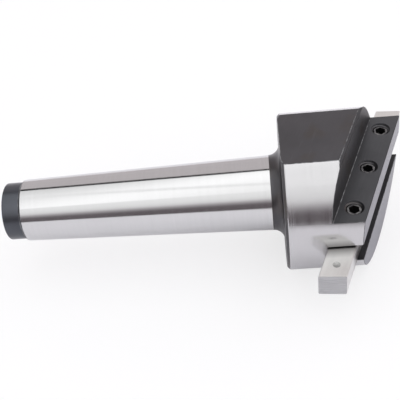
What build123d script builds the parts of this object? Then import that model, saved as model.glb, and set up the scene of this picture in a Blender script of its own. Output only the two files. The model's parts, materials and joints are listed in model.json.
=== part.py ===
from build123d import *
import math
import os

# Fly cutter on a Morse taper 3 shank. Millimetres, +Z up.
# +X runs along the spindle axis from the shank to the nose.
# +Z is the way the clamp screws point, and the origin is on the axis at the gauge plane of the taper.

# Shank, after the standard for Morse taper 3 with a drawbar thread
gauge_d = 23.825
taper_per_mm = 0.05020
gauge_to_neck = 5.0
shank_length = 81.0
end_band_length = 6.2
end_band_d = 18.6
end_band_edge_r = 0.6
end_band_step = 0.6

# Drawbar hole in the small end, M12
drawbar_tap_d = 10.2
drawbar_thread_depth = 28.0
drawbar_drill_extra = 6.0
drawbar_countersink_d = 13.5
centre_angle = 60.0
drill_point_angle = 118.0

# Head, turned from the same bar as the shank
neck_fillet_r = 3.5
head_d = 50.0
head_back_chamfer = 0.9
head_axis_length = 31.8
nose_tilt = 20.0
top_flat_height = 22.2

# Stepped ledge that carries the clamp screws
ledge_height = 8.2
ledge_width = 8.9
step_wall_lean = 0.45
step_wall_hollow = 0.25
step_edge_drop = 1.3
step_edge_width = 0.7

# Slot for the tool bit, open at the nose
slot_width = 8.4
slot_depth = 9.9
slot_centre_height = -4.45
slot_corner_r = 0.4

# Tool bit, a square high speed steel blank
bit_side = 8.0
bit_length = 80.0
bit_end_angle = 15.0
bit_low_tip = 27.8
bit_edge_chamfer = 0.25
bit_seat_gap = 0.02

# Clamp screws, M6 with a hexagon socket and a flat point
screw_count = 3
screw_spacing = 18.5
screw_d = 6.0
screw_length = 8.0
screw_thread_gap = 0.06
screw_crown_d = 4.3
screw_crown_h = 0.75
screw_point_d = 4.0
socket_across_flats = 3.0
socket_depth = 3.5

# Positions worked out from the sizes above
neck_x = gauge_to_neck
shank_end_x = -shank_length
band_x = shank_end_x + end_band_length
head_back_x = neck_x + neck_fillet_r
nose_axis_x = head_back_x + head_axis_length
head_r = head_d / 2
tilt = math.radians(nose_tilt)
nose_w = nose_axis_x * math.cos(tilt)
ledge_w = nose_w - ledge_width
slot_floor_w = nose_w - slot_depth
slot_bottom_z = slot_centre_height - slot_width / 2
slot_top_z = slot_centre_height + slot_width / 2
bit_bottom_z = slot_bottom_z + bit_seat_gap
bit_top_z = bit_bottom_z + bit_side
bit_back_w = slot_floor_w + bit_seat_gap
screw_w = nose_w - ledge_width / 2
screw_mid_t = screw_w * math.tan(tilt)
past = 2 * head_d

# Plane of the head: local X points out of the nose face, local Y runs along the slot
head_plane = Plane(origin=(0, 0, 0), x_dir=(math.cos(tilt), -math.sin(tilt), 0), z_dir=(0, 0, 1))
# Section plane across the slot: local X points out of the nose face, local Y is up
section_plane = Plane(origin=(0, 0, 0), x_dir=head_plane.x_dir, z_dir=-head_plane.y_dir)


def taper_r(x):
    """Radius of the Morse taper at a station on the axis."""
    return (gauge_d + taper_per_mm * x) / 2


def turned_blank():
    """Shank and head as they leave the lathe, one piece of bar."""
    band_r = end_band_d / 2
    neck_r = taper_r(neck_x)
    nose_end = nose_axis_x + head_r
    edge_start = (shank_end_x, band_r - end_band_edge_r)
    edge_finish = (shank_end_x + end_band_edge_r, band_r)
    band_end = Line((shank_end_x, 0), edge_start)
    band_edge = TangentArc(edge_start, edge_finish, tangent=(0, 1))
    rise = Polyline(edge_finish, (band_x - end_band_step, band_r),
                    (band_x, taper_r(band_x)), (neck_x, neck_r))
    fillet_arc = CenterArc((neck_x, neck_r + neck_fillet_r), neck_fillet_r, -90, 90)
    head = Polyline((head_back_x, neck_r + neck_fillet_r), (head_back_x, head_r - head_back_chamfer),
                    (head_back_x + head_back_chamfer, head_r), (nose_end, head_r), (nose_end, 0), (shank_end_x, 0))
    half = make_face(band_end + band_edge + rise + fillet_arc + head)
    return revolve(Plane.XZ * half, Axis.X, 360)


def drawbar_hole():
    """Tapped hole for the drawbar, with its centre countersink."""
    r = drawbar_tap_d / 2
    mouth_r = drawbar_countersink_d / 2
    mouth_depth = (mouth_r - r) / math.tan(math.radians(centre_angle / 2))
    full_x = shank_end_x + drawbar_thread_depth + drawbar_drill_extra
    tip_x = full_x + r / math.tan(math.radians(drill_point_angle / 2))
    half = make_face(Polyline((shank_end_x, 0), (shank_end_x, mouth_r), (shank_end_x + mouth_depth, r),
                              (full_x, r), (tip_x, 0), close=True))
    return revolve(Plane.XZ * half, Axis.X, 360)


def across_head(outline):
    """Cutter that runs through the whole head along the slot, from an outline in the section plane."""
    return extrude(section_plane * outline, past, both=True)


def nose_cut():
    """All that lies beyond the tilted nose face."""
    return across_head(Pos(nose_w + past / 2, 0) * Rectangle(past, past))


def step_cut():
    """Stepped ledge with its hollow wall and the broken edge under the top flat."""
    wall_top_w = ledge_w - step_wall_lean
    wall_top_z = top_flat_height - step_edge_drop
    hollow_w = (ledge_w + wall_top_w) / 2 - step_wall_hollow
    hollow_z = (ledge_height + wall_top_z) / 2
    wall = ThreePointArc((ledge_w, ledge_height), (hollow_w, hollow_z), (wall_top_w, wall_top_z))
    edge_w = wall_top_w - step_edge_width
    rest = Polyline((wall_top_w, wall_top_z), (edge_w, top_flat_height), (edge_w, past), (past, past),
                    (past, ledge_height), (ledge_w, ledge_height))
    return across_head(make_face(wall + rest))


def top_flat_cut():
    """Flat milled along the top of the head."""
    return across_head(Pos(0, top_flat_height + past / 2) * Rectangle(2 * past, past))


def slot_cut():
    """Slot for the tool bit, with rounded inner corners."""
    length = slot_depth + past
    outline = Pos(slot_floor_w + length / 2, slot_centre_height) * RectangleRounded(length, slot_width, slot_corner_r)
    return across_head(outline)


def screw_places():
    """Axes of the clamp screws, evenly spaced along the ledge about the spindle axis."""
    middle = (screw_count - 1) / 2
    return [(screw_w, screw_mid_t + (i - middle) * screw_spacing) for i in range(screw_count)]


def screw_hole(place):
    """Threaded hole from the ledge into the slot."""
    w, t = place
    height = ledge_height - slot_centre_height
    bore = Cylinder((screw_d + screw_thread_gap) / 2, height, align=(Align.CENTER, Align.CENTER, Align.MIN))
    return head_plane * Pos(w, t, slot_centre_height) * bore


def make_cutter_body():
    body = turned_blank() - drawbar_hole()
    body -= nose_cut()
    body -= top_flat_cut()
    body -= step_cut()
    body -= slot_cut()
    for place in screw_places():
        body -= screw_hole(place)
    return body


def make_tool_bit():
    """Square blank with both ends ground parallel at a slant, seated in the slot."""
    slant = bit_side * math.tan(math.radians(bit_end_angle))
    front_w = bit_back_w + bit_side
    low = -bit_low_tip
    outline = make_face(Polyline((bit_back_w, low), (front_w, low + slant), (front_w, low + bit_length),
                                 (bit_back_w, low + bit_length - slant), close=True))
    blank = extrude(outline, bit_side)
    blank = chamfer(blank.edges().filter_by(Axis.Y), bit_edge_chamfer)
    return head_plane * Pos(0, 0, bit_bottom_z) * blank


def make_set_screw(place):
    """Headless screw with a chamfered crown, a flat point and a hexagon socket."""
    w, t = place
    r = (screw_d - screw_thread_gap) / 2
    point_h = r - screw_point_d / 2
    half = make_face(Polyline((0, 0), (screw_point_d / 2, 0), (r, point_h), (r, screw_length - screw_crown_h),
                              (screw_crown_d / 2, screw_length), (0, screw_length), close=True))
    screw = revolve(Plane.XZ * half, Axis.Z, 360)
    socket = RegularPolygon(socket_across_flats / 2, 6, major_radius=False)
    screw -= Pos(0, 0, screw_length - socket_depth) * extrude(socket, socket_depth)
    return head_plane * Pos(w, t, bit_top_z + bit_seat_gap) * screw


def make_parts():
    parts = {"cutter_body": make_cutter_body(), "tool_bit": make_tool_bit()}
    for number, place in enumerate(screw_places(), start=1):
        parts[f"clamp_screw_{number}"] = make_set_screw(place)
    return parts


os.makedirs("parts", exist_ok=True)
for name, part in make_parts().items():
    export_step(part, f"parts/{name}.step")
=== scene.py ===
"""Looks of a taper shank fly cutter, built around its packed construction model."""
import json
import math

import bmesh
import bpy
from bpy.props import FloatProperty, FloatVectorProperty, IntProperty, PointerProperty
from mathutils import Matrix, Vector


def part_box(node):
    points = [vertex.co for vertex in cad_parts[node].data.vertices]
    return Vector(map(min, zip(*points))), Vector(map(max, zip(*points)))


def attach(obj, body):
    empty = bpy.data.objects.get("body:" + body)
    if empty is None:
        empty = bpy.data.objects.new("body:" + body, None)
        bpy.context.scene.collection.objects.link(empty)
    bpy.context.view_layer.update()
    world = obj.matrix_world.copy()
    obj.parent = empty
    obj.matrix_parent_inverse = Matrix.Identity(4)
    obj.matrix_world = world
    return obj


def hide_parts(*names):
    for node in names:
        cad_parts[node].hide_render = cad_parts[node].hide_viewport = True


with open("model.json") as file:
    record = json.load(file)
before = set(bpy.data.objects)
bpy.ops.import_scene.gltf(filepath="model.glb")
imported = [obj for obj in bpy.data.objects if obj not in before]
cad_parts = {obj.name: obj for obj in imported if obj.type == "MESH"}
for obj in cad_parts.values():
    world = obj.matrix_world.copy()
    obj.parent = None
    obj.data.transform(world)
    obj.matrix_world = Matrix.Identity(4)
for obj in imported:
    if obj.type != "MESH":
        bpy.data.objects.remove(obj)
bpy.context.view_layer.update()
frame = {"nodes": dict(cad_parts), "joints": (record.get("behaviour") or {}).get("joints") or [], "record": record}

bl_info = {
    "name": "Taper shank fly cutter",
    "version": (1, 0, 0),
    "blender": (4, 5, 0),
    "location": "3D View > Sidebar > Fly cutter",
    "description": "Models a fly cutter with a Morse taper shank, its tool bit and its clamp screws",
    "category": "Object",
}

MM = 0.001
UP = Vector((0, 0, 1))
SPINDLE = Vector((1, 0, 0))

# Half angles of the centre hole, of a drill's point and of a thread's groove
CENTRE_HALF_ANGLE = math.radians(30)
DRILL_HALF_ANGLE = math.radians(59)
THREAD_HALF_ANGLE = math.radians(30)

# Faces round a small turned form
ROUND_STEPS = 64


def joint_axis(name):
    """Unit axis of a joint of the frame."""
    found = next(j for j in frame["joints"] if j["name"] == name)
    return Vector(found["axis"]).normalized()


def reach(node, direction):
    """Lowest and highest place of a node of the frame along a direction."""
    places = [v.co.dot(direction) for v in frame["nodes"][node].data.vertices]
    return min(places), max(places)


def mount_size(name, key):
    """A dimension of a mount of the record, in metres."""
    found = next(m for m in frame["record"]["mounts"] if m["name"] == name)
    return found["dims"][key] * MM


# The slot runs along SLOT_WAY, and NOSE_WAY points out of the nose face
SLOT_WAY = -joint_axis("bit_slide")
NOSE_WAY = SLOT_WAY.cross(UP)
HEAD = Matrix((NOSE_WAY, SLOT_WAY, UP)).transposed().to_4x4()
HEAD_TILT = math.atan2(SLOT_WAY.x, SLOT_WAY.y)

BODY_LOW, BODY_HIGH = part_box("cutter_body")
SHANK_END = BODY_LOW.x
HEAD_R = (BODY_HIGH.y - BODY_LOW.y) / 2
TOP_FLAT = BODY_HIGH.z
NOSE_PLACE = reach("cutter_body", NOSE_WAY)[1]
GAUGE_R = mount_size("taper_shank", "r_mm")
NECK = SHANK_END + mount_size("taper_shank", "length_mm")
DRAWBAR_R = mount_size("drawbar_thread", "r_mm")
BIT_BACK, BIT_FRONT = reach("tool_bit", NOSE_WAY)
BIT_LOW, BIT_HIGH = reach("tool_bit", SLOT_WAY)
BIT_FLOOR, BIT_TOP = reach("tool_bit", UP)
SCREW_NODES = sorted(n for n in frame["nodes"] if n.startswith("clamp_screw"))
SCREW_FOOT, SCREW_HEAD = reach(SCREW_NODES[0], UP)
SCREW_R = (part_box(SCREW_NODES[0])[1].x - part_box(SCREW_NODES[0])[0].x) / 2


def length(name, description, millimetres):
    """A length setting, kept in metres and shown in the scene's unit."""
    return FloatProperty(name=name, description=description, default=millimetres * MM, min=0, unit="LENGTH",
                         precision=5)


def colour(name, description, value):
    """A colour setting, as linear red, green and blue."""
    return FloatVectorProperty(name=name, description=description, default=value, min=0, max=1,
                               subtype="COLOR")


class ShankSettings(bpy.types.PropertyGroup):
    """Sizes of the shank, the neck and the drawbar hole."""
    taper: FloatProperty(name="Taper", description="Growth of the diameter for each unit of length",
                         default=0.0502, min=0)
    band_length: length("End band", "Length of the turned band at the small end", 6.2)
    band_d: length("End band diameter", "Diameter of the turned band", 18.6)
    band_edge_r: length("End band edge", "Radius on the outer edge of the band", 0.6)
    band_step: length("End band step", "Length of the slope from the band to the taper", 0.6)
    neck_fillet_r: length("Neck fillet", "Radius between the neck and the back of the head", 3.5)
    head_back_chamfer: length("Head chamfer", "Chamfer on the back edge of the head", 0.9)
    mouth_d: length("Centre hole", "Diameter of the centre at the mouth of the drawbar hole", 13.5)
    drill_depth: length("Drill depth", "Depth of the drawbar hole to the end of its full diameter", 34.0)
    thread_depth: length("Thread depth", "Depth of the drawbar thread", 28.0)
    thread_r: length("Thread radius", "Largest radius of the drawbar thread", 6.0)
    thread_pitch: length("Drawbar pitch", "Pitch of the drawbar thread", 1.75)


class HeadSettings(bpy.types.PropertyGroup):
    """Sizes of the milled head."""
    ledge_height: length("Ledge height", "Height of the ledge above the axis", 8.2)
    ledge_width: length("Ledge width", "Width of the ledge behind the nose", 8.9)
    wall_lean: length("Wall lean", "Lean of the step's wall at its top", 0.45)
    wall_hollow: length("Wall hollow", "Depth of the hollow in the step's wall", 0.25)
    edge_drop: length("Step edge drop", "Height of the broken edge above the step", 1.3)
    edge_width: length("Step edge width", "Width of the broken edge above the step", 0.7)
    slot_width: length("Slot width", "Width of the slot for the bit", 8.4)
    slot_depth: length("Slot depth", "Depth of the slot behind the nose", 9.9)
    slot_centre: FloatProperty(name="Slot centre", description="Height of the slot's middle",
                               default=-4.45 * MM, unit="LENGTH", precision=5)
    slot_corner_r: length("Slot corner", "Radius in the slot's inner corners", 0.4)
    edge_break: length("Edge break", "Chamfer on every other edge", 0.14)
    steps: IntProperty(name="Turning steps", description="Faces round the turned forms", default=360, min=48)


class ScrewSettings(bpy.types.PropertyGroup):
    """Sizes of the clamp screws and of their holes."""
    pitch: length("Pitch", "Pitch of the clamp screws' thread", 1.0)
    thread_depth: length("Thread depth", "Height of the thread", 0.55)
    thread_gap: length("Thread gap", "Gap between a screw and its hole", 0.06)
    crest: length("Crest", "Width of the thread's crest", 0.125)
    crown_d: length("Crown", "Diameter of the flat at the socket end", 4.3)
    crown_h: length("Crown height", "Height of the cone round the socket end", 0.75)
    point_d: length("Point", "Diameter of the flat point", 4.0)
    socket: length("Socket", "Width of the hexagon socket across its flats", 3.0)
    socket_depth: length("Socket depth", "Depth of the hexagon socket", 3.5)


class BitSettings(bpy.types.PropertyGroup):
    """Sizes of the tool bit."""
    end_angle: FloatProperty(name="End angle", description="Slant of both ends", default=math.radians(15),
                             subtype="ANGLE")
    edge: length("Edge", "Chamfer along the bit", 0.28)
    end_edge: length("End edge", "Chamfer round both ends", 0.12)
    dimple_d: length("Dimple", "Width of the hardness mark", 2.3)
    dimple_depth: length("Dimple depth", "Depth of the hardness mark", 0.22)
    dimple_from_low: length("Dimple place", "Distance of the mark from the low end", 5.9)


class FinishSettings(bpy.types.PropertyGroup):
    """Colours of the metals."""
    ground: colour("Ground taper", "Bright ground steel of the taper", (0.63, 0.63, 0.635))
    rim: colour("Ground rim", "Ground steel round the head", (0.58, 0.575, 0.585))
    nose: colour("Nose", "Brushed steel of the nose face", (0.34, 0.34, 0.37))
    oxide: colour("Oxide", "Black oxide on the milled and turned faces", (0.098, 0.095, 0.102))
    oxide_warm: colour("Warm oxide", "Brownish patches in the oxide", (0.092, 0.080, 0.074))
    band: colour("End band", "Black oxide on the band at the small end", (0.088, 0.093, 0.107))
    # Painted light: the up-facing ledge gets a slightly lighter, bluer copy of the oxide.
    ledge: colour("Ledge", "Black oxide on the ledge", (0.098, 0.101, 0.108))
    deep: colour("Slot", "Black oxide in the slot and at the mouths of the holes", (0.045, 0.045, 0.050))
    worn: colour("Worn edge", "Steel that shows through the oxide at the edges", (0.34, 0.35, 0.36))
    bit: colour("Tool steel", "Ground high speed steel", (0.83, 0.825, 0.805))
    # Painted shade: this tone darkens the bit's sides at the mouth of the slot, where the head shades them.
    painted_slot_shade: colour("Painted_shade", "Oxide rubbed onto the bit at the mouth of the slot", (0.25, 0.24, 0.235))
    mark: colour("Mark", "Hollow of the hardness mark", (0.54, 0.54, 0.53))
    bit_end: colour("Bit end", "Ends of the bit", (0.55, 0.55, 0.56))
    screw: colour("Screw", "Oxide of the clamp screws", (0.050, 0.050, 0.053))
    crown: colour("Crown", "Bright ring round the sockets", (0.29, 0.29, 0.29))


class StageSettings(bpy.types.PropertyGroup):
    """Camera, lights and ground."""
    lens: FloatProperty(name="Lens", description="Focal length of the camera in millimetres", default=74.06)
    floor: colour("Floor", "Colour of the floor", (0.95, 0.94, 0.98))
    dark: colour("Room", "Colour beyond the end of the floor", (0.14, 0.125, 0.13))
    box: FloatProperty(name="Soft box", description="Strength of the soft box", default=1.06, min=0)
    ambient: FloatProperty(name="Ambient", description="Strength of the room's light", default=0.4, min=0)


SETTINGS = {
    "cutter_shank": ShankSettings,
    "cutter_head": HeadSettings,
    "cutter_screws": ScrewSettings,
    "cutter_bit": BitSettings,
    "cutter_finish": FinishSettings,
    "cutter_stage": StageSettings,
}


# Mesh helpers

def to_object(bm, name):
    """A mesh object from a bmesh, with its faces pointing outwards."""
    bmesh.ops.recalc_face_normals(bm, faces=bm.faces)
    mesh = bpy.data.meshes.new(name)
    bm.to_mesh(mesh)
    bm.free()
    piece = bpy.data.objects.new(name, mesh)
    bpy.context.scene.collection.objects.link(piece)
    return piece


def carve(piece, tool, operation="DIFFERENCE"):
    """Cuts a piece with a tool, or keeps what they share, and drops the tool."""
    modifier = piece.modifiers.new("carve", "BOOLEAN")
    modifier.operation = operation
    modifier.solver = "EXACT"
    modifier.object = tool
    view = bpy.context.evaluated_depsgraph_get()
    mesh = bpy.data.meshes.new_from_object(piece.evaluated_get(view))
    piece.modifiers.clear()
    old, piece.data = piece.data, mesh
    bpy.data.meshes.remove(old)
    bpy.data.objects.remove(tool)
    if not piece.data.polygons:
        raise RuntimeError(f"{piece.name} was cut away")


def polyline(bm, points):
    """Vertices and edges through points."""
    verts = [bm.verts.new(p) for p in points]
    edges = [bm.edges.new(pair) for pair in zip(verts, verts[1:])]
    return verts + edges


def arc(centre, radius, start, finish, count):
    """Points of an arc in the profile plane, from angle to angle in degrees."""
    angles = [math.radians(start + (finish - start) * i / count) for i in range(count + 1)]
    return [(centre[0] + radius * math.cos(a), centre[1] + radius * math.sin(a)) for a in angles]


def turned(points, axis, steps):
    """A solid of revolution, from a profile of places along the axis and radii that closes on the axis."""
    side = UP if axis.x else SPINDLE
    bm = bmesh.new()
    profile = polyline(bm, [axis * along + side * r for along, r in points])
    bmesh.ops.spin(bm, geom=profile, cent=(0, 0, 0), axis=axis, angle=2 * math.pi, steps=steps,
                   use_merge=True)
    bmesh.ops.remove_doubles(bm, verts=bm.verts, dist=1e-7)
    return bm


def cut_flat(bm, place, way):
    """Cuts off all that lies beyond a plane and closes the cut."""
    whole = bm.verts[:] + bm.edges[:] + bm.faces[:]
    bmesh.ops.bisect_plane(bm, geom=whole, dist=1e-8, plane_co=place, plane_no=way, clear_outer=True)
    rim = [e for e in bm.edges if e.is_boundary]
    bmesh.ops.holes_fill(bm, edges=rim, sides=0)


def threaded_rod(crest_r, depth, pitch, crest, low, high, steps=48):
    """A right hand thread round the Z axis, cut square at both ends. Its phase is zero at height zero."""
    root_r = crest_r - depth
    flank = depth * math.tan(THREAD_HALF_ANGLE)
    half = crest / 2
    middle = pitch / 2
    start = (math.floor(low / pitch) - 2) * pitch
    turns = math.ceil((high - low) / pitch) + 4
    one_turn = [(root_r, 0), (root_r, middle - half - flank), (crest_r, middle - half),
                (crest_r, middle + half), (root_r, middle + half + flank), (root_r, pitch)]
    bm = bmesh.new()
    profile = polyline(bm, [(r, 0, start + z) for r, z in one_turn])
    bmesh.ops.spin(bm, geom=profile, cent=(0, 0, 0), axis=UP, dvec=UP * (pitch / steps),
                   angle=2 * math.pi * turns, steps=steps * turns)
    bmesh.ops.remove_doubles(bm, verts=bm.verts, dist=pitch * 1e-3)
    cut_flat(bm, UP * high, UP)
    cut_flat(bm, UP * low, -UP)
    return bm


def prism(outline, run):
    """A bar along the slot, from an outline of places towards the nose and heights."""
    bm = bmesh.new()
    verts = [bm.verts.new((w, -run, z)) for w, z in outline]
    face = bm.faces.new(verts)
    pushed = bmesh.ops.extrude_face_region(bm, geom=[face])["geom"]
    far_end = [g for g in pushed if isinstance(g, bmesh.types.BMVert)]
    bmesh.ops.translate(bm, vec=(0, 2 * run, 0), verts=far_end)
    bmesh.ops.transform(bm, matrix=HEAD, verts=bm.verts)
    return bm


def chamfer(bm, edges, width):
    """Chamfers edges, and returns the new faces."""
    made = bmesh.ops.bevel(bm, geom=edges, offset=width, offset_type="OFFSET", affect="EDGES", segments=1,
                           profile=0.5, material=-1, clamp_overlap=False)
    return made["faces"]


def crease(piece, degrees=15):
    """Smooth shading, with every edge that turns by more than the angle kept sharp."""
    bm = bmesh.new()
    bm.from_mesh(piece.data)
    for f in bm.faces:
        f.smooth = True
    for e in bm.edges:
        e.smooth = len(e.link_faces) == 2 and e.calc_face_angle() < math.radians(degrees)
    bm.to_mesh(piece.data)
    bm.free()


def ready(piece, body, nodes):
    """Hands a finished piece to the frame."""
    crease(piece)
    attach(piece, body)
    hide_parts(*nodes)


# Node helpers

# Places of a Mix node's colour sockets, behind those for values and vectors
MIX_FIRST, MIX_SECOND, MIX_RESULT = 6, 7, 2


def mix_colours(tree, share, first, second):
    """A colour between two, each a colour or a socket."""
    made = tree.nodes.new("ShaderNodeMix")
    made.data_type = "RGBA"
    tree.links.new(share, made.inputs["Factor"])
    for place, value in ((MIX_FIRST, first), (MIX_SECOND, second)):
        if isinstance(value, bpy.types.NodeSocket):
            tree.links.new(value, made.inputs[place])
        else:
            made.inputs[place].default_value = (*value, 1)
    return made.outputs[MIX_RESULT]


def map_range(tree, source, low, high, at=(0.0, 1.0)):
    """A value that goes from low to high as the source crosses a range."""
    made = tree.nodes.new("ShaderNodeMapRange")
    made.inputs["From Min"].default_value, made.inputs["From Max"].default_value = at
    made.inputs["To Min"].default_value, made.inputs["To Max"].default_value = low, high
    tree.links.new(source, made.inputs["Value"])
    return made.outputs["Result"]


def shade(value, share):
    """A colour, made darker by a share below one or lighter by one above it."""
    return tuple(v * share for v in value)


# Finishes

# Noise scales along X, Y and Z that draw turning, milling and slotting marks, and the height of fine marks
TURNING_MARKS = (2600, 120, 120)
MILLING_MARKS = (2200, 110, 300)
SLOTTING_MARKS = (1500, 300, 1500)
FINE_RELIEF = 3e-6


class Finish:
    """A metal's node tree while it is being wired."""

    def __init__(self, name, **sockets):
        self.material = bpy.data.materials.new(name)
        self.material.use_nodes = True
        self.tree = self.material.node_tree
        self.tree.nodes.clear()
        self.shader = self.node("ShaderNodeBsdfPrincipled", **sockets)
        out = self.node("ShaderNodeOutputMaterial")
        self.join(self.shader.outputs["BSDF"], out.inputs["Surface"])
        self.place = self.node("ShaderNodeTexCoord").outputs["Object"]

    def node(self, kind, **sockets):
        """A node, with values for its inputs, where a name's underscores stand for spaces."""
        made = self.tree.nodes.new(kind)
        for key, value in sockets.items():
            made.inputs[key.replace("_", " ")].default_value = value
        return made

    def join(self, source, target):
        """A link between two sockets."""
        self.tree.links.new(source, target)

    def mapped(self, scale, turn=0.0):
        """The object's own coordinates, turned about Z and then stretched."""
        turned_place = self.node("ShaderNodeMapping", Rotation=(0, 0, turn))
        self.join(self.place, turned_place.inputs["Vector"])
        stretched = self.node("ShaderNodeMapping", Scale=scale)
        self.join(turned_place.outputs["Vector"], stretched.inputs["Vector"])
        return stretched.outputs["Vector"]

    def noise(self, scale, turn=0.0, detail=3.0, roughness=0.55):
        """Noise of some size in each direction, from 0 to 1."""
        made = self.node("ShaderNodeTexNoise", Scale=1.0, Detail=detail, Roughness=roughness)
        self.join(self.mapped(scale, turn), made.inputs["Vector"])
        return made.outputs["Fac"]

    def ramp(self, source, low, high, at=(0.0, 1.0)):
        """A value that goes from low to high as the source crosses a range."""
        return map_range(self.tree, source, low, high, at)

    def blend(self, share, first, second):
        """A colour between two, each a colour or a socket."""
        return mix_colours(self.tree, share, first, second)

    def maths(self, operation, first, second):
        """What an operation makes of two values."""
        made = self.node("ShaderNodeMath")
        made.operation = operation
        self.join(first, made.inputs[0])
        self.join(second, made.inputs[1])
        return made.outputs[0]

    def add(self, first, second):
        """The sum of two values."""
        return self.maths("ADD", first, second)

    def lesser(self, first, second):
        """The lesser of two values."""
        return self.maths("MINIMUM", first, second)

    def colour(self, tone):
        """Gives the metal its colour."""
        self.join(tone, self.shader.inputs["Base Color"])

    def roughness(self, first, second):
        """Gives the metal the sum of two values as its roughness."""
        self.join(self.add(first, second), self.shader.inputs["Roughness"])

    def bumps(self, *layers):
        """Bumps, each a height from 0 to 1 and its distance in metres."""
        below = None
        for height, distance in layers:
            made = self.node("ShaderNodeBump", Strength=1.0, Distance=distance)
            self.join(height, made.inputs["Height"])
            if below:
                self.join(below, made.inputs["Normal"])
            below = made.outputs["Normal"]
        self.join(below, self.shader.inputs["Normal"])


def ground_steel(name, value, rough, spread, rings, relief):
    """Steel ground between centres: fine rings round the axis, and faint marks of handling."""
    made = Finish(name, Metallic=1.0, Anisotropic=0.6, Anisotropic_Rotation=0.25)
    around = made.tree.nodes.new("ShaderNodeTangent")
    around.direction_type, around.axis = "RADIAL", "X"
    made.join(around.outputs["Tangent"], made.shader.inputs["Tangent"])
    fine = made.noise((rings, 30, 30), detail=4)
    coarse = made.noise((rings / 7, 12, 12), detail=2)
    smear = made.noise((45, 70, 70), detail=3)
    lines = made.add(made.ramp(fine, 0, 0.6), made.ramp(coarse, 0, 0.4))
    tone = made.blend(made.ramp(lines, 0, 1, (0.3, 0.7)), shade(value, 0.93), value)
    tone = made.blend(made.ramp(smear, 0, 0.35, (0.45, 0.75)), tone, shade(value, 0.9))
    made.colour(tone)
    rougher = made.ramp(lines, rough * (1 - spread), rough * (1 + spread), (0.3, 0.7))
    made.roughness(rougher, made.ramp(smear, -0.02, 0.03))
    made.bumps((fine, relief), (coarse, relief * 1.5))
    return made.material


def oxide(name, value, warm, rough, lines, turn=0.0, relief=FINE_RELIEF):
    """Black oxide on steel: tool marks below it, warmer patches and a few pale scuffs."""
    made = Finish(name, Metallic=0.85)
    marks = made.noise(lines, turn, detail=4)
    cloud = made.noise((60, 60, 60), detail=3)
    patch = made.noise((110, 85, 95), turn, detail=2)
    scuff = made.noise((420, 900, 700), turn + 0.5, detail=5, roughness=0.7)
    tone = made.blend(made.ramp(cloud, 0, 1, (0.35, 0.65)), value, shade(value, 0.86))
    tone = made.blend(made.ramp(patch, 0, 0.7, (0.50, 0.68)), tone, warm)
    tone = made.blend(made.ramp(marks, 0, 0.5, (0.55, 0.8)), tone, shade(value, 1.25))
    tone = made.blend(made.ramp(scuff, 0, 0.6, (0.73, 0.80)), tone, shade(value, 2.2))
    made.colour(tone)
    made.roughness(made.ramp(marks, rough * 0.85, rough * 1.15), made.ramp(cloud, -0.04, 0.04))
    made.bumps((marks, relief), (scuff, relief * 0.4))
    return made.material


def brushed(name, value, rough, lines, turn, relief=FINE_RELIEF, contrast=0.8, painted_slot_shade=None):
    """Bare steel with straight grinding or milling lines, and a band of painted shade across it where one is
    given.
    """
    made = Finish(name, Metallic=1.0)
    fine = made.noise(lines, turn, detail=5, roughness=0.6)
    wide = made.noise(tuple(v / 5 for v in lines), turn, detail=2)
    cloud = made.noise((90, 90, 90), detail=3)
    tone = made.blend(made.ramp(fine, 0, 1, (0.3, 0.7)), shade(value, contrast), value)
    tone = made.blend(made.ramp(wide, 0, 0.5, (0.4, 0.7)), tone, shade(value, (1 + contrast) / 2))
    tone = made.blend(made.ramp(cloud, 0, 0.4, (0.4, 0.7)), tone, shade(value, 0.88))
    # Painted shade: where given, the colour darkens towards a shade tone across a band of the object's Y.
    if painted_slot_shade:
        shade_colour, start, full, fading, finish = painted_slot_shade
        apart = made.node("ShaderNodeSeparateXYZ")
        made.join(made.place, apart.inputs[0])
        y = apart.outputs["Y"]
        share = made.lesser(made.ramp(y, 0, 1, (start, full)), made.ramp(y, 1, 0, (fading, finish)))
        tone = made.blend(share, tone, shade_colour)
    made.colour(tone)
    made.roughness(made.ramp(fine, rough * 0.8, rough * 1.2), made.ramp(cloud, -0.03, 0.05))
    made.bumps((fine, relief), (wide, relief))
    return made.material


def worn_edge(name, bare, value):
    """An edge where the oxide is worn through in places."""
    made = Finish(name, Metallic=1.0, Roughness=0.5)
    rub = made.noise((700, 700, 700), detail=4, roughness=0.7)
    made.colour(made.blend(made.ramp(rub, 0, 1, (0.42, 0.62)), value, bare))
    return made.material


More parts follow.
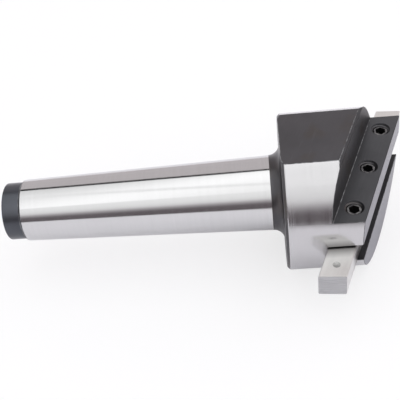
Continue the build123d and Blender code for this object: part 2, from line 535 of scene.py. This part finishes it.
def body_finishes():
    """The finishes of the turned and milled body, by name."""
    look = bpy.context.scene.cutter_finish
    value, warm, deep = tuple(look.oxide), tuple(look.oxide_warm), tuple(look.deep)
    band, ledge = tuple(look.band), tuple(look.ledge)
    # Painted shade: the narrow strip above the step's wall gets a darker copy of the oxide.
    turned_value, shaded_strip = shade(value, 0.85), shade(value, 0.7)
    return {
        "band_oxide": oxide("band_oxide", band, band, rough=0.30, lines=TURNING_MARKS),
        "turned_oxide": oxide("turned_oxide", turned_value, warm, rough=0.30, lines=TURNING_MARKS),
        "milled_oxide": oxide("milled_oxide", value, warm, rough=0.42, lines=MILLING_MARKS, turn=HEAD_TILT),
        "lit_ledge_oxide": oxide("lit_ledge_oxide", ledge, ledge, rough=0.36, lines=MILLING_MARKS, turn=HEAD_TILT),
        "shaded_strip_oxide": oxide("shaded_strip_oxide", shaded_strip, shaded_strip, rough=0.42, lines=MILLING_MARKS, turn=HEAD_TILT),
        "slot_oxide": oxide("slot_oxide", deep, deep, rough=0.45, lines=SLOTTING_MARKS, turn=HEAD_TILT,
                            relief=2 * FINE_RELIEF),
        "ground_taper": ground_steel("ground_taper", tuple(look.ground), rough=0.12, spread=0.35, rings=5200,
                                     relief=1.8e-6),
        "ground_rim": ground_steel("ground_rim", tuple(look.rim), rough=0.20, spread=0.5, rings=2200,
                                   relief=FINE_RELIEF),
        "brushed_nose": brushed("brushed_nose", tuple(look.nose), rough=0.40, lines=(500, 130, 3200),
                                turn=HEAD_TILT, relief=4e-6),
        "worn_edge": worn_edge("worn_edge", tuple(look.worn), value),
    }


# Cutter body

def taper_r(x):
    """Radius of the taper at a place on the axis."""
    return GAUGE_R + bpy.context.scene.cutter_shank.taper * x / 2


def shank_profile():
    """Half outline of the turned blank with its drawbar hole, as places on the axis and radii."""
    size = bpy.context.scene.cutter_shank
    band_r, edge_r = size.band_d / 2, size.band_edge_r
    mouth_r = size.mouth_d / 2
    mouth = SHANK_END + (mouth_r - DRAWBAR_R) / math.tan(CENTRE_HALF_ANGLE)
    full = SHANK_END + size.drill_depth
    tip = full + DRAWBAR_R / math.tan(DRILL_HALF_ANGLE)
    band = SHANK_END + size.band_length
    back = NECK + size.neck_fillet_r
    neck_r = taper_r(NECK)
    far = NOSE_PLACE / NOSE_WAY.x + HEAD_R
    points = [(tip, 0), (full, DRAWBAR_R), (mouth, DRAWBAR_R), (SHANK_END, mouth_r)]
    points += arc((SHANK_END + edge_r, band_r - edge_r), edge_r, 180, 90, 8)
    points += [(band - size.band_step, band_r), (band, taper_r(band))]
    points += arc((NECK, neck_r + size.neck_fillet_r), size.neck_fillet_r, -90, 0, 16)
    points += [(back, HEAD_R - size.head_back_chamfer), (back + size.head_back_chamfer, HEAD_R)]
    points += [(far, HEAD_R), (far, 0)]
    return points


def step_outline():
    """Section of all that the ledge's cutter takes away, with a wall hollowed most at half its height."""
    size = bpy.context.scene.cutter_head
    foot = (NOSE_PLACE - size.ledge_width, size.ledge_height)
    top = (foot[0] - size.wall_lean, TOP_FLAT - size.edge_drop)
    lean = Vector(top) - Vector(foot)
    out = Vector((-lean.y, lean.x)).normalized() * size.wall_hollow
    hollow = []
    count = 8
    for i in range(count + 1):
        share = i / count
        hollow.append(tuple(Vector(foot) + lean * share + out * 4 * share * (1 - share)))
    far = NOSE_PLACE + HEAD_R
    above = TOP_FLAT + HEAD_R
    edge = (top[0] - size.edge_width, TOP_FLAT)
    lead = edge[0] - size.edge_width * (above - TOP_FLAT) / size.edge_drop
    return hollow + [(lead, above), (far, above), (far, size.ledge_height)]


def slot_outline():
    """Section of the slot, with rounded inner corners."""
    size = bpy.context.scene.cutter_head
    floor = NOSE_PLACE - size.slot_depth
    r = size.slot_corner_r
    low, high = size.slot_centre - size.slot_width / 2, size.slot_centre + size.slot_width / 2
    far = NOSE_PLACE + HEAD_R
    points = [(far, low)]
    points += arc((floor + r, low + r), r, 270, 180, 9)
    points += arc((floor + r, high - r), r, 180, 90, 9)
    return points + [(far, high)]


def merge_slivers(bm, thinnest):
    """Joins each sliver beside a sharp edge to the smooth face behind it."""
    sharp = math.radians(22)
    shortest = 4 * thinnest
    doomed = set()
    for e in bm.edges:
        if len(e.link_faces) != 2 or e.calc_face_angle() < sharp or e.calc_length() < shortest:
            continue
        for f in e.link_faces:
            if len(f.verts) != 4 or f.calc_area() / e.calc_length() > thinnest:
                continue
            other = max((x for x in f.edges if x is not e), key=lambda x: x.calc_length())
            if len(other.link_faces) == 2 and other.calc_face_angle() < sharp:
                doomed.add(other)
    bmesh.ops.dissolve_edges(bm, edges=list(doomed), use_verts=True)


def break_edges(piece, width, index):
    """Chamfers every sharp edge, gives the new faces a material index and keeps all below the top flat."""
    bm = bmesh.new()
    bm.from_mesh(piece.data)
    bmesh.ops.remove_doubles(bm, verts=bm.verts, dist=1e-6)
    merge_slivers(bm, 2 * width)
    least = math.radians(24)
    sharp = [e for e in bm.edges if len(e.link_faces) == 2 and e.calc_face_angle() > least]
    for f in chamfer(bm, sharp, width):
        f.material_index = index
    for v in bm.verts:
        v.co.z = min(v.co.z, TOP_FLAT)
    bmesh.ops.recalc_face_normals(bm, faces=bm.faces)
    bm.to_mesh(piece.data)
    bm.free()


def screw_cutter(place):
    """The thread of one clamp screw's hole, from the slot to above the ledge."""
    head, size = bpy.context.scene.cutter_head, bpy.context.scene.cutter_screws
    bm = threaded_rod(SCREW_R + size.thread_gap, size.thread_depth, size.pitch, size.crest,
                      low=head.slot_centre, high=head.ledge_height + size.pitch)
    bmesh.ops.translate(bm, vec=(place.x, place.y, 0), verts=bm.verts)
    return to_object(bm, "screw_cutter")


def mouth_cutter(place):
    """The cone that breaks the edge of one clamp screw's hole."""
    head, size = bpy.context.scene.cutter_head, bpy.context.scene.cutter_screws
    inner = SCREW_R - size.thread_depth
    outer = SCREW_R + size.thread_gap
    foot = head.ledge_height - outer + inner
    above = size.pitch
    top = head.ledge_height + above
    points = [(foot - MM, 0), (foot, inner), (head.ledge_height, outer), (top, outer + above), (top, 0)]
    bm = turned(points, UP, ROUND_STEPS)
    bmesh.ops.translate(bm, vec=(place.x, place.y, 0), verts=bm.verts)
    return to_object(bm, "mouth_cutter")


def drawbar_cutter():
    """The thread of the drawbar hole."""
    size = bpy.context.scene.cutter_shank
    gap = 0.05 * MM
    depth = size.thread_r - DRAWBAR_R + gap
    bm = threaded_rod(size.thread_r, depth, size.thread_pitch, size.thread_pitch / 8, low=SHANK_END - MM,
                      high=SHANK_END + size.thread_depth, steps=ROUND_STEPS)
    bmesh.ops.rotate(bm, cent=(0, 0, 0), matrix=Matrix.Rotation(math.pi / 2, 3, "Y"), verts=bm.verts)
    return to_object(bm, "drawbar_cutter")


def screw_places():
    """Middle of each clamp screw of the frame."""
    return [sum(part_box(n), Vector()) / 2 for n in SCREW_NODES]


def paint_body(piece, finishes):
    """Gives each face of the body its finish, from its place and the way it points."""
    shank, head = bpy.context.scene.cutter_shank, bpy.context.scene.cutter_head
    names = list(finishes)
    for material in finishes.values():
        piece.data.materials.append(material)
    near = 0.03 * MM
    edge_reach = 2 * head.edge_break
    level, straight_out = 0.99, 0.9
    band = SHANK_END + shank.band_length
    back = NECK + shank.neck_fillet_r
    rim_start = back + 1.5 * shank.head_back_chamfer
    slot_floor = NOSE_PLACE - head.slot_depth - near
    slot_half = head.slot_width / 2 + near
    strip_foot = TOP_FLAT - head.edge_drop - near
    places = screw_places()
    hole_r = SCREW_R + 4 * bpy.context.scene.cutter_screws.thread_gap

    for f in piece.data.polygons:
        outward = Vector((0, f.center.y, f.center.z))
        r = outward.length
        to_nose = f.center.dot(NOSE_WAY)
        from_ledge = abs(f.center.z - head.ledge_height)
        beside_rim = r > HEAD_R - edge_reach and f.center.x < rim_start
        if f.material_index == names.index("worn_edge") and not beside_rim:
            if to_nose > NOSE_PLACE - edge_reach and from_ledge < edge_reach:
                f.material_index = names.index("slot_oxide")
            continue
        facing_out = r > 0 and f.normal.dot(outward / r) > straight_out
        beside_screw = min((f.center.xy - place.xy).length for place in places) < hole_r
        on_strip = 0.3 < f.normal.z < 0.9 and f.normal.x > 0.3 and f.center.z > strip_foot
        if f.normal.dot(NOSE_WAY) > level and to_nose > NOSE_PLACE - near:
            kind = "brushed_nose"
        elif beside_screw and abs(f.normal.z) < level:
            on_mouth = 0.6 < f.normal.z < 0.8
            kind = "slot_oxide" if on_mouth else "turned_oxide"
        elif facing_out and abs(r - HEAD_R) < edge_reach:
            kind = "ground_rim"
        elif facing_out and band < f.center.x < NECK and abs(r - taper_r(f.center.x)) < near:
            kind = "ground_taper"
        elif to_nose > slot_floor and abs(f.center.z - head.slot_centre) < slot_half:
            kind = "slot_oxide"
        elif f.normal.z > level and from_ledge < near:
            # Painted light: the ledge's faces get the lighter copy of the oxide.
            kind = "lit_ledge_oxide"
        # Painted shade: the strip's faces get the darker copy of the oxide.
        elif on_strip:
            kind = "shaded_strip_oxide"
        elif f.center.x > back + head.edge_break and abs(f.normal.x) < level:
            kind = "milled_oxide"
        else:
            kind = "band_oxide" if f.center.x < band else "turned_oxide"
        f.material_index = names.index(kind)


class CUTTER_OT_body(bpy.types.Operator):
    """Model the shank and head in one piece, with the milled faces, the slot and the tapped holes."""
    bl_idname = "cutter.body"
    bl_label = "Cutter body"

    def execute(self, context):
        head = context.scene.cutter_head
        finishes = body_finishes()
        bm = turned(shank_profile(), SPINDLE, head.steps)
        cut_flat(bm, NOSE_WAY * NOSE_PLACE, NOSE_WAY)
        cut_flat(bm, UP * TOP_FLAT, UP)
        piece = to_object(bm, "turned_and_milled_body")
        for outline in (step_outline(), slot_outline()):
            carve(piece, to_object(prism(outline, 2 * HEAD_R), "cutter"))
        break_edges(piece, head.edge_break, list(finishes).index("worn_edge"))
        for place in screw_places():
            carve(piece, screw_cutter(place))
            carve(piece, mouth_cutter(place))
        carve(piece, drawbar_cutter())
        paint_body(piece, finishes)
        ready(piece, "body", ["cutter_body"])
        return {"FINISHED"}


# Tool bit

class CUTTER_OT_bit(bpy.types.Operator):
    """Model the square tool bit with slanted ends, broken edges and its hardness mark."""
    bl_idname = "cutter.bit"
    bl_label = "Tool bit"

    def execute(self, context):
        size = context.scene.cutter_bit
        side = BIT_FRONT - BIT_BACK
        slant = math.tan(size.end_angle)
        middle = Vector((BIT_BACK + side / 2, (BIT_LOW + BIT_HIGH) / 2, (BIT_FLOOR + BIT_TOP) / 2))
        run = BIT_HIGH - BIT_LOW - slant * side
        bm = bmesh.new()
        bmesh.ops.create_cube(bm, size=1.0)
        bmesh.ops.scale(bm, vec=(side, run, side), verts=bm.verts)
        shear = Matrix.Identity(4)
        shear[1][0] = slant
        bmesh.ops.transform(bm, matrix=shear, verts=bm.verts)
        long_edges = [e for e in bm.edges if abs((e.verts[0].co - e.verts[1].co).normalized().y) > 0.99]
        chamfer(bm, long_edges, size.edge)
        ends = [f for f in bm.faces if abs(f.normal.y) > 0.9]
        round_ends = {e for f in ends for e in f.edges}
        chamfer(bm, list(round_ends), size.end_edge)
        bmesh.ops.translate(bm, vec=middle, verts=bm.verts)
        bmesh.ops.transform(bm, matrix=HEAD, verts=bm.verts)
        piece = to_object(bm, "ground_tool_bit")
        carve(piece, self.dimple(size))
        self.paint(piece, size, context.scene.cutter_finish)
        ready(piece, "bit", ["tool_bit"])
        return {"FINISHED"}

    def mark_place(self, size):
        """Middle of the hardness mark on top of the bit."""
        return HEAD @ Vector(((BIT_BACK + BIT_FRONT) / 2, BIT_LOW + size.dimple_from_low, BIT_TOP))

    def dimple(self, size):
        """A ball that leaves the shallow hardness mark near the low end."""
        half = size.dimple_d / 2
        ball_r = (half * half + size.dimple_depth ** 2) / (2 * size.dimple_depth)
        rings = 96
        bm = bmesh.new()
        bmesh.ops.create_uvsphere(bm, u_segments=rings, v_segments=rings, radius=ball_r)
        place = self.mark_place(size) + UP * (ball_r - size.dimple_depth)
        bmesh.ops.translate(bm, vec=place, verts=bm.verts)
        return to_object(bm, "dimple")

    def paint(self, piece, size, look):
        """Gives the sides, the ends and the mark their own finishes."""
        # Painted shade on the bit's sides, darkest just outside the head's rim where the head's overhang shades
        # them.
        painted_slot_shade = (tuple(look.painted_slot_shade), -HEAD_R - 4.0 * MM, -HEAD_R, -HEAD_R + 3.0 * MM, -HEAD_R + 7.0 * MM)
        finishes = [brushed("tool_steel_sides", tuple(look.bit), rough=0.30, lines=(900, 90, 900),
                            turn=HEAD_TILT, relief=2e-6, contrast=0.9, painted_slot_shade=painted_slot_shade),
                    brushed("tool_steel_ends", tuple(look.bit_end), rough=0.40, lines=(110, 500, 1900),
                            turn=HEAD_TILT, relief=1.2e-5, contrast=0.6),
                    brushed("tool_steel_mark", tuple(look.mark), rough=0.45, lines=(2600, 2600, 2600),
                            turn=0, contrast=0.6)]
        for material in finishes:
            piece.data.materials.append(material)
        sides, ends, hollow = range(3)
        mark = self.mark_place(size)
        below_top = BIT_TOP - 0.005 * MM
        for f in piece.data.polygons:
            if (f.center - mark).length < size.dimple_d / 2 and f.center.z < below_top:
                f.material_index = hollow
            else:
                f.material_index = ends if abs(f.normal.dot(SLOT_WAY)) > 0.6 else sides


# Clamp screws

class CUTTER_OT_screws(bpy.types.Operator):
    """Model the three threaded clamp screws with their hexagon sockets."""
    bl_idname = "cutter.screws"
    bl_label = "Clamp screws"

    def execute(self, context):
        look = context.scene.cutter_finish
        finishes = [oxide("screw_oxide", tuple(look.screw), tuple(look.oxide_warm), rough=0.30,
                          lines=(900, 900, 900), relief=2e-6),
                    worn_edge("screw_crown", tuple(look.crown), tuple(look.oxide))]
        pattern = self.screw(context.scene.cutter_screws)
        for material in finishes:
            pattern.data.materials.append(material)
        self.paint(pattern)
        for number, (node, place) in enumerate(zip(SCREW_NODES, screw_places()), start=1):
            piece = pattern.copy()
            piece.data = pattern.data.copy()
            piece.name = f"socket_set_screw_{number}"
            context.scene.collection.objects.link(piece)
            piece.data.transform(Matrix.Translation((place.x, place.y, 0)))
            ready(piece, f"screw_{number}", [node])
        bpy.data.objects.remove(pattern)
        return {"FINISHED"}

    def screw(self, size):
        """One screw on the Z axis, at the height of the frame's screws."""
        bm = threaded_rod(SCREW_R, size.thread_depth, size.pitch, size.crest, SCREW_FOOT, SCREW_HEAD)
        piece = to_object(bm, "screw")
        point_r, crown_r = size.point_d / 2, size.crown_d / 2
        over = SCREW_R + 0.02 * MM
        bevel_h = over - point_r
        crown_h = size.crown_h * (over - crown_r) / (SCREW_R - crown_r)
        outline = [(SCREW_FOOT, 0), (SCREW_FOOT, point_r), (SCREW_FOOT + bevel_h, over),
                   (SCREW_HEAD - crown_h, over), (SCREW_HEAD, crown_r), (SCREW_HEAD, 0)]
        carve(piece, to_object(turned(outline, UP, ROUND_STEPS), "envelope"), "INTERSECT")
        carve(piece, self.socket(size))
        return piece

    def socket(self, size):
        """The bar that cuts the hexagon socket, from its bottom to above the screw."""
        corner_r = size.socket / math.sqrt(3)
        bottom = SCREW_HEAD - size.socket_depth
        tall = size.socket_depth + 0.5 * MM
        bm = bmesh.new()
        bmesh.ops.create_cone(bm, cap_ends=True, segments=6, radius1=corner_r, radius2=corner_r, depth=tall)
        bmesh.ops.translate(bm, vec=UP * (bottom + tall / 2), verts=bm.verts)
        return to_object(bm, "socket")

    def paint(self, piece):
        """Gives the flat ring round the socket the bright finish, and the rest the oxide."""
        dark, bright = range(2)
        near_top = SCREW_HEAD - 0.01 * MM
        for f in piece.data.polygons:
            f.material_index = bright if f.normal.z > 0.99 and f.center.z > near_top else dark


# Stage

class CUTTER_OT_stage(bpy.types.Operator):
    """Set up the floor, the cards, the soft box, the room and the camera."""
    bl_idname = "cutter.stage"
    bl_label = "Stage"

    def execute(self, context):
        size = context.scene.cutter_stage
        self.floor(size)
        self.front_card()
        self.back_card()
        self.soft_box(size)
        self.seam(size)
        self.room(context, size)
        self.camera(context, size)
        context.scene.view_settings.view_transform = "Standard"
        return {"FINISHED"}

    def sheet(self, name, corners):
        """A flat stage piece through its corners, with an empty material."""
        bm = bmesh.new()
        bm.faces.new([bm.verts.new(c) for c in corners])
        piece = to_object(bm, name)
        material = bpy.data.materials.new(name)
        material.use_nodes = True
        material.node_tree.nodes.clear()
        piece.data.materials.append(material)
        return piece, material.node_tree

    def seen(self, tree, shares):
        """A value that is one share for camera rays, one for glossy rays and one for transmission rays."""
        path = tree.nodes.new("ShaderNodeLightPath")
        total = None
        for name, share in zip(("Is Camera Ray", "Is Glossy Ray", "Is Transmission Ray"), shares):
            step = tree.nodes.new("ShaderNodeMath")
            step.operation = "MULTIPLY_ADD"
            step.inputs[1].default_value = share
            step.inputs[2].default_value = 0
            tree.links.new(path.outputs[name], step.inputs[0])
            if total:
                tree.links.new(total, step.inputs[2])
            total = step.outputs[0]
        return total

    def along(self, tree, way):
        """How far a place of a stage piece lies along a direction, in metres."""
        place = tree.nodes.new("ShaderNodeTexCoord")
        along = tree.nodes.new("ShaderNodeVectorMath")
        along.operation = "DOT_PRODUCT"
        along.inputs[1].default_value = way
        tree.links.new(place.outputs["Object"], along.inputs[0])
        return along.outputs["Value"]

    def floor(self, size):
        """Pale floor that keeps the object's shadow and, in reflections, ends in a dark room."""
        half = 4.0
        z = BODY_LOW.z - 0.1 * MM
        room_way = (0.902, -0.433, 0)
        paper_end, room_start = 0.09, 0.17
        camera_only = (1, 0, 0)
        glow_shares = (0.7, 0.05, 0.05)
        corners = [(-half, -half, z), (half, -half, z), (half, half, z), (-half, half, z)]
        _, tree = self.sheet("floor", corners)
        beyond = map_range(tree, self.along(tree, room_way), 0, 1, (paper_end, room_start))
        reflected = mix_colours(tree, beyond, tuple(size.floor), tuple(size.dark))
        colour_seen = mix_colours(tree, self.seen(tree, camera_only), reflected, tuple(size.floor))
        paint = tree.nodes.new("ShaderNodeBsdfDiffuse")
        glow = tree.nodes.new("ShaderNodeEmission")
        mix = tree.nodes.new("ShaderNodeMixShader")
        out = tree.nodes.new("ShaderNodeOutputMaterial")
        tree.links.new(colour_seen, paint.inputs["Color"])
        tree.links.new(self.seen(tree, glow_shares), mix.inputs[0])
        tree.links.new(paint.outputs[0], mix.inputs[1])
        tree.links.new(glow.outputs[0], mix.inputs[2])
        tree.links.new(mix.outputs[0], out.inputs["Surface"])

    def card(self, name, corners, way, stops, shadow=False):
        """A card seen by reflections and soft light, graded along a way by stops of a place and a colour."""
        piece, tree = self.sheet(name, corners)
        piece.visible_camera = False
        piece.visible_shadow = shadow
        low, high = stops[0][0], stops[-1][0]
        ramp = tree.nodes.new("ShaderNodeValToRGB")
        glow = tree.nodes.new("ShaderNodeEmission")
        out = tree.nodes.new("ShaderNodeOutputMaterial")
        tree.links.new(map_range(tree, self.along(tree, way), 0, 1, (low, high)), ramp.inputs["Fac"])
        tree.links.new(ramp.outputs["Color"], glow.inputs["Color"])
        tree.links.new(glow.outputs[0], out.inputs["Surface"])
        brightest = max(max(value) for _, value in stops)
        glow.inputs["Strength"].default_value = brightest
        steps = ramp.color_ramp.elements
        while len(steps) < len(stops):
            steps.new(0.5)
        for step, (at, value) in zip(steps, stops):
            step.position = (at - low) / (high - low)
            step.color = (*(v / brightest for v in value), 1)

    def front_card(self):
        """Dark room low behind the camera, fading up into the soft box."""
        y, half, low, high = -1.6, 4.0, BODY_LOW.z, 2.2
        stops = [(0.0, (0.165, 0.145, 0.155)), (0.28, (0.195, 0.172, 0.183)), (0.40, (0.30, 0.275, 0.29)),
                 (0.56, (0.52, 0.495, 0.51)), (0.70, (0.78, 0.76, 0.77)), (0.82, (1.00, 0.99, 0.995)),
                 (1.05, (1.15, 1.15, 1.15)), (1.50, (1.25, 1.25, 1.25))]
        self.card("front_card", [(-half, y, low), (half, y, low), (half, y, high), (-half, y, high)],
                  (0.06, 0, 0.998), stops)

    def back_card(self):
        """Grey wall beyond the object, with a slanted top and the dark rim of the soft box along it."""
        y, low, high = 0.62, BODY_LOW.z, 1.3
        edge = Vector((-0.28, y, 1.165))
        way = Vector((0.766, 0, 0.643))
        outward = Vector((-0.643, 0, 0.766))
        foot, top = (edge + way * ((z - edge.z) / way.z) for z in (low, high))
        right = 4.0
        rim = 0.24
        end = edge.dot(outward)
        grey, dark = (0.71, 0.665, 0.675), (0.02, 0.02, 0.022)
        stops = [(end - 1.0, grey), (end - rim - 0.01, grey), (end - rim, dark), (end, dark)]
        self.card("back_card", [foot, (right, y, low), (right, y, high), top], outward, stops)

    def soft_box(self, size):
        """Wide soft box overhead, brightest near its middle."""
        z, wide, front, back = 1.3, 2.4, -1.12, 2.2
        stops = [(-0.75, 1.0), (-0.48, 1.2), (-0.27, 1.48), (-0.15, 1.55), (0.0, 1.45), (0.12, 1.36),
                 (0.3, 1.28)]
        self.card("soft_box", [(-wide, front, z), (-wide, back, z), (wide, back, z), (wide, front, z)],
                  (0.935, -0.355, 0), [(at, (size.box * value,) * 3) for at, value in stops], shadow=True)

    def seam(self, size):
        """Darker seam across the soft box, which draws a faint line along the taper."""
        z, half, value = 1.295, 0.06, 1.2 * size.box
        left, right = Vector((-0.763, 0.418, z)), Vector((0.01, -0.60, z))
        side = (right - left).normalized().cross(UP) * half
        self.card("seam", [left - side, left + side, right + side, right - side], (1, 0, 0),
                  [(left.x, (value,) * 3), (right.x, (value,) * 3)])

    def room(self, context, size):
        """White room, with softer light on diffuse surfaces."""
        world = bpy.data.worlds.new("room")
        context.scene.world = world
        world.use_nodes = True
        tree = world.node_tree
        back = tree.nodes["Background"]
        back.inputs["Color"].default_value = (1, 1, 1, 1)
        strength = map_range(tree, self.seen(tree, (1, 1, 1)), size.ambient, 1)
        tree.links.new(strength, back.inputs["Strength"])

    def camera(self, context, size):
        """Camera at the photograph's viewing angle, from its axes and its place."""
        right = Vector((0.99361, 0.01138, -0.11226))
        up = Vector((0.07201, 0.70198, 0.70855))
        back = Vector((0.08687, -0.71211, 0.69668))
        place = Vector((5.132, -190.095, 184.911)) * MM
        data = bpy.data.cameras.new("camera")
        data.sensor_width = 36
        data.lens = size.lens
        data.clip_start = 0.01
        camera = bpy.data.objects.new("camera", data)
        pose = Matrix((right, up, back)).transposed().to_4x4()
        pose.translation = place
        camera.matrix_world = pose
        context.scene.collection.objects.link(camera)
        context.scene.camera = camera


class CUTTER_PT_panel(bpy.types.Panel):
    """Buttons and sizes of the fly cutter."""
    bl_idname = "CUTTER_PT_panel"
    bl_label = "Fly cutter"
    bl_space_type = "VIEW_3D"
    bl_region_type = "UI"
    bl_category = "Fly cutter"

    def draw(self, context):
        for operator in OPERATORS:
            self.layout.operator(operator.bl_idname)
        for key, group in SETTINGS.items():
            box = self.layout.box()
            for setting in group.__annotations__:
                box.prop(getattr(context.scene, key), setting)


OPERATORS = (CUTTER_OT_body, CUTTER_OT_bit, CUTTER_OT_screws, CUTTER_OT_stage)


def register():
    """Registers the settings, the operators and the panel."""
    for cls in (*SETTINGS.values(), *OPERATORS, CUTTER_PT_panel):
        bpy.utils.register_class(cls)
    for key, group in SETTINGS.items():
        setattr(bpy.types.Scene, key, PointerProperty(type=group))


def unregister():
    """Takes back what register did."""
    for key in SETTINGS:
        delattr(bpy.types.Scene, key)
    for cls in reversed((*SETTINGS.values(), *OPERATORS, CUTTER_PT_panel)):
        bpy.utils.unregister_class(cls)


def main():
    """Builds the cutter and its stage."""
    register()
    bpy.ops.cutter.body()
    bpy.ops.cutter.bit()
    bpy.ops.cutter.screws()
    bpy.ops.cutter.stage()


if __name__ == "__main__":
    main()
